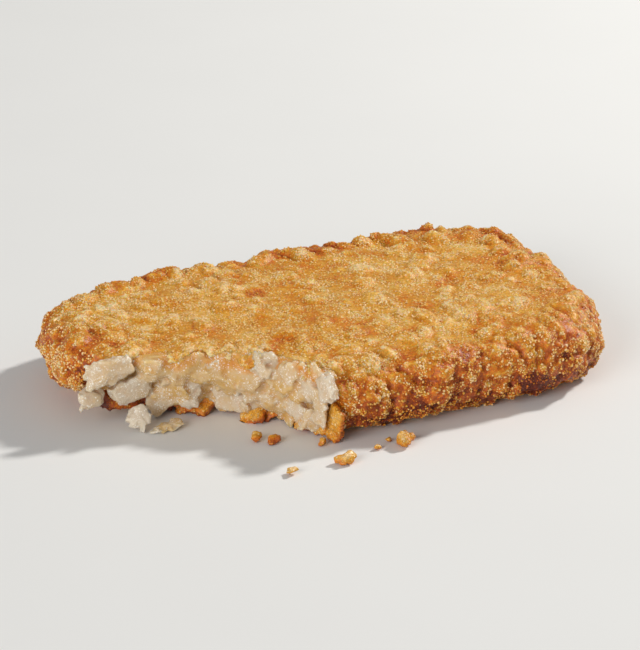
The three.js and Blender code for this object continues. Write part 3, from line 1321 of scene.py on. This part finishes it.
    def curl_up(self, piece: Piece) -> None:
        """Lifts the underside of the bitten end off the ground and pushes it back from the bite."""
        points = points_of(piece)
        low = self.bite.low
        share = smoothstep(24 * MM, 7 * MM, points[:, 0] - low.x)
        share *= smoothstep(45 * MM, 26 * MM, points[:, 1] - low.y)
        share *= np.clip(1 - points[:, 2] / self.bite.height, 0, 1)
        up, back = self.curl
        points[:, 2] += up * share
        points[:, 1] += back * share
        move_points(piece, points)

    def press_under(self, filling: Piece) -> None:
        """Presses what lies behind the bite's wall under the top crust."""
        points = points_of(filling)
        behind = self.bite.depth(points) > 0.2 * MM
        points[behind, 2] = np.minimum(points[behind, 2], self.ceiling)
        move_points(filling, points)

    def browning(self, points: np.ndarray, side: np.ndarray, near_bite: np.ndarray) -> np.ndarray:
        """Tells how brown each point is: paler on top and by the bite, darkest at the far rim, and darker
        low down as painted shade.

        Args:
            points: The points.
            side: For each point 1 on the patty's side and 0 on its top.
            near_bite: For each point 1 at the bite and 0 away from it.

        Returns:
            One number for each point, 0 where the crust is pale and 1 where it is darkest.
        """
        x, y, z = points.T
        tones = self.brown_and_shade
        far = smoothstep(18 * MM, 31 * MM, y)
        right = smoothstep(38 * MM, 54 * MM, x)
        left = smoothstep(-38 * MM, -50 * MM, x)
        # Painted shade: darker low on the side, where it curves under towards the ground.
        low = smoothstep(9 * MM, 1 * MM, z) * (1 - 0.5 * left) * (1 - 0.5 * right)
        top = tones.top + tones.top_right * right + tones.top_edge * self.edge(points) * (1 - near_bite)
        rim = tones.rim + tones.far * far + tones.right * right + tones.low * low + tones.left * left
        cut = smoothstep(2 * MM, 0.5 * MM, self.bite.depth(points)) * smoothstep(13 * MM, 10 * MM, z)
        brown = top + (rim - top) * side
        brown += (tones.cut - brown) * cut
        ragged = 1 + 0.35 * clouds(points, 3 * MM, seed=6)
        for spot in self.spots:
            brown += spot.added_to(points, ragged)
        return brown

    def store_colours(self, crust: Piece) -> None:
        """Stores the numbers that the crust's finish and its loose grains read."""
        points = points_of(crust)
        side, top, cover = (weights_of(crust, stored) for stored in (Stored.SIDE, Stored.TOP, Stored.COVER))
        crust.vertex_groups.clear()
        relief = self.relief_of(crust, span=0.5 * MM)
        near_bite = smoothstep(11 * MM, 1 * MM, self.bite.depth(points))
        # Painted shade: the deepest crevices are browned more.
        crevice = 0.5 - self.relief_of(crust, span=1.6 * MM, reach=60)
        brown = self.browning(points, side, near_bite) + self.brown_and_shade.crevice * crevice
        thickly = 0.3 + 0.7 * cover
        store(crust, Stored.RELIEF, relief)
        store(crust, Stored.BROWNING, brown)
        store(crust, Stored.COVER, cover)
        store(crust, Stored.SIDE, side * thickly * smoothstep(0.25, 0.6, relief))
        store(crust, Stored.TOP, top * thickly)
        crust.data.materials.clear()


# ------------------------------------------------------------
# What is torn, and what has fallen
# ------------------------------------------------------------


@dataclass(frozen=True)
class Torn:
    """One torn bit on the bite's wall.

    Attributes:
        angle: Where it is along the bite, as the angle of the bite's superellipse.
        height: How high its middle is.
        size: Its length, width and thickness.
        turn: How far its length is turned up from level, in the wall's plane.
        out: How far its middle stands out of the wall.
        tone: Its tint or its browning, from 0 to 1.
        lean: How far its upper edge leans out.
    """

    angle: float
    height: float
    size: Size
    turn: float
    out: float
    tone: float
    lean: float = 0.0

    def matrix(self, bite: Bite) -> Matrix:
        """Returns the matrix that puts a bit modelled flat at the origin on the bite's wall."""
        facing = bite.facing(self.angle)
        along = Vector((0, 0, 1)).cross(facing)
        frame = Matrix((along, Vector((0, 0, 1)), facing)).transposed()
        turned = frame @ Euler((-self.lean, 0, self.turn)).to_matrix()
        return Matrix.Translation(bite.wall(self.angle, self.height, self.out)) @ turned.to_4x4()


@dataclass
class Bits:
    """Torn or fallen bits of one finish, joined into one piece.

    Attributes:
        name: The piece's name.
        bits: The bits.
        stored: What their tone is stored as.
        reliefs: The relief that makes each bit uneven.
        cell: Size of the cells of their meshes.
        cover: How thickly grains of batter cover them, from 0 to 1.
    """

    name: str
    bits: tuple[Torn, ...] | tuple[Crumb, ...]
    stored: Stored
    reliefs: tuple[Relief, ...]
    cell: float = 0.3 * MM
    cover: float = 0.3

    def shape(self, bit: Torn | Crumb, number: int) -> Piece:
        """Models one bit in its place; each kind of bits has its own way."""
        raise NotImplementedError

    def unite(self, piece: Piece) -> None:
        """Makes the joined bits one; each kind of bits has its own way."""
        raise NotImplementedError

    def build(self) -> Piece:
        """Models each bit in its place, stores its tone and joins them all."""
        made = [self.shape(bit, number) for number, bit in enumerate(self.bits)]
        for lump, bit in zip(made, self.bits):
            store(lump, self.stored, bit.tone)
            store(lump, Stored.COVER, self.cover)
        piece = join(made, self.name)
        self.unite(piece)
        smooth(piece)
        return piece


@dataclass
class TornBits(Bits):
    """Torn bits that hang on the bite's wall.

    Attributes:
        bite: The bite.
        cuts: How many flat faces each has.
        roundness: How round they are, from 0 to 1.
    """

    bite: Bite = field(kw_only=True)
    cuts: int = field(kw_only=True)
    roundness: float = 0.2

    def shape(self, bit: Torn, number: int) -> Piece:
        """Models one bit and hangs it on the wall."""
        kind = Lump(bit.size, self.reliefs, self.cuts, self.cell, self.roundness)
        lump = kind.build(f"{self.name}_{number}", number)
        lump.matrix_world = bit.matrix(self.bite)
        settle(lump)
        return lump

    def unite(self, piece: Piece) -> None:
        """Presses the joined bits flat where they reach the ground."""
        press_flat(piece)


@dataclass(frozen=True)
class Crumb:
    """One loose crumb on the ground.

    Attributes:
        place: Where it lies, along X and Y.
        size: Its length, width and height.
        turn: How far it is turned.
        tone: Its tint or its browning, from 0 to 1.
        arms: How many such lumps cross in its middle, as in a star.
        tilt: How far the plane of its arms is tipped up.
    """

    place: tuple[float, float]
    size: Size
    turn: float
    tone: float
    arms: int = 1
    tilt: float = 0.0

    def build(self, name: str, seed: int, reliefs: tuple[Relief, ...], cell: float) -> Piece:
        """Models the crumb and lays it in its place.

        Args:
            name: The object's name.
            seed: Which of its patterns of relief it gets.
            reliefs: The relief that makes it uneven.
            cell: Size of the cells of its mesh, in metres.

        Returns:
            The crumb.
        """
        made = []
        for arm in range(self.arms):
            lump = Lump(self.size, reliefs, cuts=4, cell=cell).build(f"{name}_{arm}", seed + arm)
            spin = Euler((0, 0, math.pi * arm / self.arms)).to_matrix()
            tip = Euler((self.tilt, 0, self.turn)).to_matrix()
            lump.rotation_euler = (tip @ spin).to_euler()
            settle(lump)
            made.append(lump)
        crumb = join(made, name)
        crumb.location = (*self.place, -points_of(crumb)[:, 2].min())
        settle(crumb)
        return crumb


@dataclass
class Crumbs(Bits):
    """Loose crumbs on the ground.

    Attributes:
        relief: How high the surface of fallen potato counts as standing, from 0 to 1.
        first_seed: Which pattern of relief the first one gets.
    """

    cell: float = 0.22 * MM
    relief: float = 0.6
    first_seed: int = 40

    def shape(self, bit: Crumb, number: int) -> Piece:
        """Models one crumb and lays it on the ground."""
        lump = bit.build(f"{self.name}_{number}", number + self.first_seed, self.reliefs, self.cell)
        if self.stored is Stored.TINT:
            store(lump, Stored.RELIEF, self.relief)
        return lump

    def unite(self, piece: Piece) -> None:
        """Fuses the arms of each star-shaped crumb."""
        fuse(piece, self.cell, (self.stored, Stored.COVER, Stored.RELIEF))


@dataclass
class CrustGrains:
    """Loose grains of batter stuck to the crust.

    Attributes:
        name: The piece's name.
        size: A grain's length, width and thickness.
        scatter: How they lie.
        paler: How much less brown they are than the crust under them.
        uneven: How much their browning differs from one to another.
        variants: How many kinds of grain there are.
    """

    name: str
    size: Size
    scatter: Scatter
    paler: float
    uneven: float = 0.3
    variants: int = 4

    def build(self, body: Piece) -> Piece:
        """Models a few grains, strews them over the body and stores their browning."""
        relief = Relief(Basis.SOFT, self.size[0] * 0.8, self.size[0] * 0.5)
        grains = [
            Lump(self.size, (relief,)).build(f"{self.name}_{seed}", seed + self.scatter.seed)
            for seed in range(self.variants)
        ]
        piece = self.scatter.strew(body, grains, self.name)
        drawn = self.uneven * (values_of(piece, Stored.TINT) - 0.5)
        store(piece, Stored.BROWNING, values_of(piece, Stored.BROWNING) - self.paler + drawn)
        store(piece, Stored.COVER, 0.0)
        smooth(piece)
        return piece


# Each torn bit: its angle, height, size, turn, distance out of the wall, tone and lean.
SHREDS = (
    Torn(1.46, 11.5 * MM, mm(8.6, 4.8, 2.2), 0.12, 1.3 * MM, 0.65, 0.1),
    Torn(1.52, 6.2 * MM, mm(4.2, 4.0, 2.2), 0.3, 2.0 * MM, 0.81),
    Torn(1.36, 6.6 * MM, mm(8.0, 4.8, 1.8), 0.35, 1.5 * MM, 0.86, -0.2),
    Torn(1.21, 4.6 * MM, mm(8.4, 3.8, 2.0), 0.7, 1.6 * MM, 0.6, -0.1),
    Torn(1.10, 5.9 * MM, mm(6.8, 3.8, 2.0), 1.5, 1.9 * MM, 0.96),
    Torn(1.01, 9.8 * MM, mm(5.0, 4.0, 2.0), 0.1, 1.1 * MM, 0.86),
    Torn(0.83, 8.2 * MM, mm(4.6, 3.4, 1.8), 0.9, 1.5 * MM, 1.0),
    Torn(0.71, 12.0 * MM, mm(5.4, 4.8, 2.6), 0.2, 0.9 * MM, 0.7),
    Torn(0.85, 4.2 * MM, mm(10.0, 6.0, 1.8), -0.1, 1.5 * MM, 0.81, -0.15),
    Torn(0.56, 10.0 * MM, mm(7.0, 5.2, 2.0), 0.6, 1.1 * MM, 0.5),
    Torn(0.52, 4.5 * MM, mm(8.0, 3.6, 2.0), -0.42, 1.6 * MM, 0.75),
    Torn(0.40, 8.4 * MM, mm(4.8, 4.0, 2.0), 0.9, 1.2 * MM, 0.73),
    Torn(0.31, 5.4 * MM, mm(7.6, 3.0, 2.0), 1.5, 1.9 * MM, 0.68),
    Torn(0.25, 12.0 * MM, mm(5.8, 4.2, 2.8), -1.1, 1.2 * MM, 0.88),
    Torn(0.35, 12.8 * MM, mm(4.2, 2.6, 2.0), -0.3, 0.5 * MM, 0.38),
    Torn(1.18, 9.5 * MM, mm(5.4, 3.0, 1.8), 0.5, 0.8 * MM, 0.6),
    Torn(0.92, 7.0 * MM, mm(5.0, 3.2, 1.8), -0.3, 0.8 * MM, 0.5),
    Torn(0.62, 6.6 * MM, mm(5.0, 3.2, 1.8), 0.2, 0.8 * MM, 0.35),
    Torn(1.28, 9.6 * MM, mm(4.6, 3.0, 1.8), -0.4, 0.8 * MM, 0.45),
)
BASE_FLAKES = (
    Torn(0.72, 1.6 * MM, mm(5.4, 4.4, 2.0), 0.2, 1.2 * MM, 0.66, 0.8),
    Torn(0.78, 1.3 * MM, mm(5.2, 4.6, 1.6), 0.4, 2.5 * MM, 0.60, 1.1),
    Torn(1.06, 2.0 * MM, mm(4.6, 4.4, 2.2), -0.3, 1.4 * MM, 0.66, 0.7),
    Torn(1.13, 1.8 * MM, mm(4.4, 3.4, 2.0), 0.4, 0.6 * MM, 0.76, 0.6),
    Torn(1.20, 2.2 * MM, mm(4.0, 3.0, 2.0), 0.1, 0.0 * MM, 0.96, 0.5),
    Torn(1.29, 3.0 * MM, mm(4.6, 3.0, 2.0), -0.2, -0.2 * MM, 0.98, 0.4),
    Torn(1.37, 3.0 * MM, mm(4.2, 3.2, 2.0), -0.2, 0.2 * MM, 0.98, 0.4),
    Torn(1.44, 4.0 * MM, mm(4.6, 3.4, 2.2), -0.2, 0.2 * MM, 0.93, 0.3),
    Torn(0.46, 1.6 * MM, mm(4.2, 2.8, 1.8), 0.3, 1.2 * MM, 0.68, 0.7),
    Torn(0.36, 1.6 * MM, mm(4.0, 3.2, 2.0), -0.3, 1.0 * MM, 0.66, 0.5),
    Torn(0.28, 1.6 * MM, mm(3.4, 2.6, 1.6), -0.3, 0.5 * MM, 0.62, 0.6),
    Torn(0.58, 1.6 * MM, mm(3.8, 2.4, 1.6), 0.0, 0.4 * MM, 0.72, 0.6),
    Torn(0.25, 4.4 * MM, mm(6.0, 4.2, 1.3), 1.2, 0.6 * MM, 0.55, 0.1),
)
# Each crumb: its place, size, turn and tone, and for a star its arms and tilt.
CRUMBS = (
    Crumb(mm(-0.4, -35.6), mm(3.6, 2.6, 2.2), 0.6, 0.43),
    Crumb(mm(-13.4, -38.4), mm(4.0, 2.2, 1.6), 0.2, 0.40),
    Crumb(mm(-23.9, -38.6), mm(2.0, 1.5, 1.0), 0.4, 0.36),
    Crumb(mm(-24.4, -23.4), mm(2.2, 1.6, 1.4), 1.0, 0.50),
    Crumb(mm(-21.9, -25.4), mm(2.8, 1.8, 1.5), 0.2, 0.53),
    Crumb(mm(-14.2, -29.8), mm(1.7, 1.4, 1.2), 0.9, 0.5),
    Crumb(mm(-5.9, -35.4), mm(1.2, 1.0, 0.7), 0.3, 0.42),
    Crumb(mm(-2.6, -33.2), mm(1.4, 1.0, 0.7), 0.7, 0.42),
)
POTATO_BITS = (
    Crumb(mm(-42.3, -10.6), mm(4.9, 1.6, 1.5), -0.41, 1.3, 3, 0.9),
    Crumb(mm(-37.2, -12.8), mm(5.6, 2.2, 1.4), 0.15, 0.35),
    Crumb(mm(-39.6, -13.2), mm(1.8, 1.3, 0.9), 0.6, 0.85),
)


# ------------------------------------------------------------
# The studio
# ------------------------------------------------------------


WARM = (1.0, 0.98, 0.95)  # the light of the key lamp
WARMISH = (1.0, 0.985, 0.97)  # the light of the fill lamp


@dataclass(frozen=True)
class Lamp:
    """A soft area lamp that shines at the patty.

    Attributes:
        name: Its name.
        azimuth: Where it stands, in degrees from +X towards +Y.
        elevation: How high it stands, in degrees.
        distance: How far off it stands.
        size: Its width and height.
        power: Its power, in watts.
        colour: The colour of its light.
    """

    name: str
    azimuth: float
    elevation: float
    distance: float
    size: float
    power: float
    colour: Colour

    def place(self, target: Vector) -> Piece:
        """Puts the lamp in the scene, facing a target, and returns it."""
        bpy.ops.object.select_all(action="DESELECT")
        bpy.ops.object.light_add(type="AREA")
        lamp = bpy.context.object
        lamp.name = self.name
        turn = Euler((0, -math.radians(self.elevation), math.radians(self.azimuth)))
        direction = turn.to_matrix() @ Vector((1, 0, 0))
        lamp.location = target + direction * self.distance
        lamp.rotation_euler = direction.to_track_quat("Z", "Y").to_euler()
        lamp.data.shape = "DISK"
        lamp.data.size = self.size
        lamp.data.energy = self.power
        lamp.data.color = self.colour
        return lamp


@dataclass
class Studio:
    """A plain pale floor, soft lamps and a camera that looks down at the bitten corner.

    Attributes:
        floor_size: The floor's width.
        target: What the camera looks at.
        azimuth: Where the camera stands, in degrees from -Y towards -X.
        elevation: How high the camera stands, in degrees.
        distance: How far off it stands.
        lens: Its focal length, in millimetres.
        lamps: The lamps.
        sky: The strength of the even light from all around.
        sky_colour: Its colour.
    """

    floor_size: float = 3.0
    target: Vector = field(default_factory=lambda: Vector((0.05, 3.69, 7.90)) * MM)
    azimuth: float = 23.7
    elevation: float = 23.3
    distance: float = 577.7 * MM
    lens: float = 168.6
    lamps: tuple[Lamp, ...] = (
        Lamp("key_lamp", azimuth=10, elevation=38, distance=1.0, size=0.1, power=8.5, colour=WARM),
        Lamp("fill_lamp", azimuth=213, elevation=20, distance=1.2, size=0.8, power=9.4, colour=WARMISH),
    )
    sky: float = 0.25
    sky_colour: Colour = (0.97, 0.98, 1.0)

    def build(self) -> None:
        """Builds the floor, the lamps, the camera and the sky."""
        self.lay_floor()
        for lamp in self.lamps:
            lamp.place(self.target)
        self.place_camera()
        world = bpy.data.worlds.new("studio_light")
        world.use_nodes = True
        background = world.node_tree.nodes["Background"]
        background.inputs["Color"].default_value = (*self.sky_colour, 1)
        background.inputs["Strength"].default_value = self.sky
        bpy.context.scene.world = world
        bpy.context.scene.view_settings.view_transform = "Standard"

    def lay_floor(self) -> None:
        """Lays the floor that the patty rests on."""
        bpy.ops.object.select_all(action="DESELECT")
        bpy.ops.mesh.primitive_plane_add(size=self.floor_size, location=(0, 0, 0))
        floor = bpy.context.object
        floor.name = "studio_floor"
        settle(floor)
        floor.data.materials.append(Paint().material())

    def place_camera(self) -> None:
        """Places the camera and makes it the scene's own."""
        camera = bpy.data.objects.new("camera", bpy.data.cameras.new("camera"))
        bpy.context.collection.objects.link(camera)
        around, up = math.radians(self.azimuth), math.radians(self.elevation)
        back = Vector((-math.sin(around) * math.cos(up), -math.cos(around) * math.cos(up), math.sin(up)))
        camera.location = self.target + back * self.distance
        camera.rotation_euler = back.to_track_quat("Z", "Y").to_euler()
        camera.data.lens = self.lens
        camera.data.dof.use_dof = False
        bpy.context.scene.camera = camera


# ------------------------------------------------------------
# The whole
# ------------------------------------------------------------


def report(piece: Piece) -> None:
    """Logs a piece's name, size and number of triangles."""
    size = " x ".join(f"{part / MM:.1f}" for part in piece.dimensions)
    LOG.info("%s: %s mm, %d triangles", piece.name, size, triangles_in(piece))


def main() -> None:
    """Builds the hash brown, its crumbs and the studio round it."""
    logging.basicConfig(level=logging.INFO, format="%(message)s")
    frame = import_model()
    LOG.info("loaded %s", ", ".join(frame["nodes"]))
    groups = Groups()
    crust = FriedCrust(
        "fried_crust", roughness=0.34, depth=1.2 * MM, glow=0.6, scatter=(1.0, 0.4, 0.14), ior=1.38
    ).material(groups)
    batter = FriedCrust("crisp_batter", roughness=0.28, depth=0.3 * MM, glow=0.0).material(groups)
    potato = CookedPotato(
        "torn_potato", roughness=0.2, depth=2.2 * MM, glow=0.9, scatter=(1.0, 0.93, 0.9), ior=1.5
    ).material(groups)
    low, _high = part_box(NODE)
    bite = Bite(Vector(low))
    patty = Patty(bite)
    body = patty.build_crust(bpy.data.objects[NODE])
    crumbly = (Relief(Basis.PEBBLES, 1.2 * MM, -0.7 * MM), Relief(Basis.SOFT, 0.6 * MM, 0.4 * MM))
    side_grains = CrustGrains(
        "side_grains",
        mm(0.48, 0.38, 0.4),
        Scatter(Stored.SIDE, 0.37 * MM, scale=(0.35, 1.4), sink=0.04 * MM, tilt=0.3, seed=51),
        paler=0.42,
    )
    top_grains = CrustGrains(
        "top_grains",
        mm(0.42, 0.36, 0.4),
        Scatter(Stored.TOP, 0.5 * MM, scale=(0.35, 1.3), sink=0.04 * MM, tilt=0.25, seed=61),
        paler=0.15,
    )
    shreds = TornBits("large_shreds", SHREDS, Stored.TINT, RAGGED, bite=bite, cuts=3)
    flakes = TornBits("base_flakes", BASE_FLAKES, Stored.BROWNING, FLAKY, bite=bite, cuts=2)
    pieces = (
        (body, crust),
        (patty.build_potato(shreds.build(), body), potato),
        (flakes.build(), batter),
        (Crumbs("golden_crumbs", CRUMBS, Stored.BROWNING, crumbly).build(), batter),
        (Crumbs("potato_bits", POTATO_BITS, Stored.TINT, RAGGED).build(), potato),
        (side_grains.build(body), batter),
        (top_grains.build(body), batter),
    )
    for piece, finish in pieces:
        piece.data.materials.clear()
        piece.data.materials.append(finish)
        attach(piece, BODY)
        report(piece)
    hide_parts(NODE)
    bpy.data.objects.remove(patty.core)
    Studio().build()


if __name__ == "__main__":
    main()
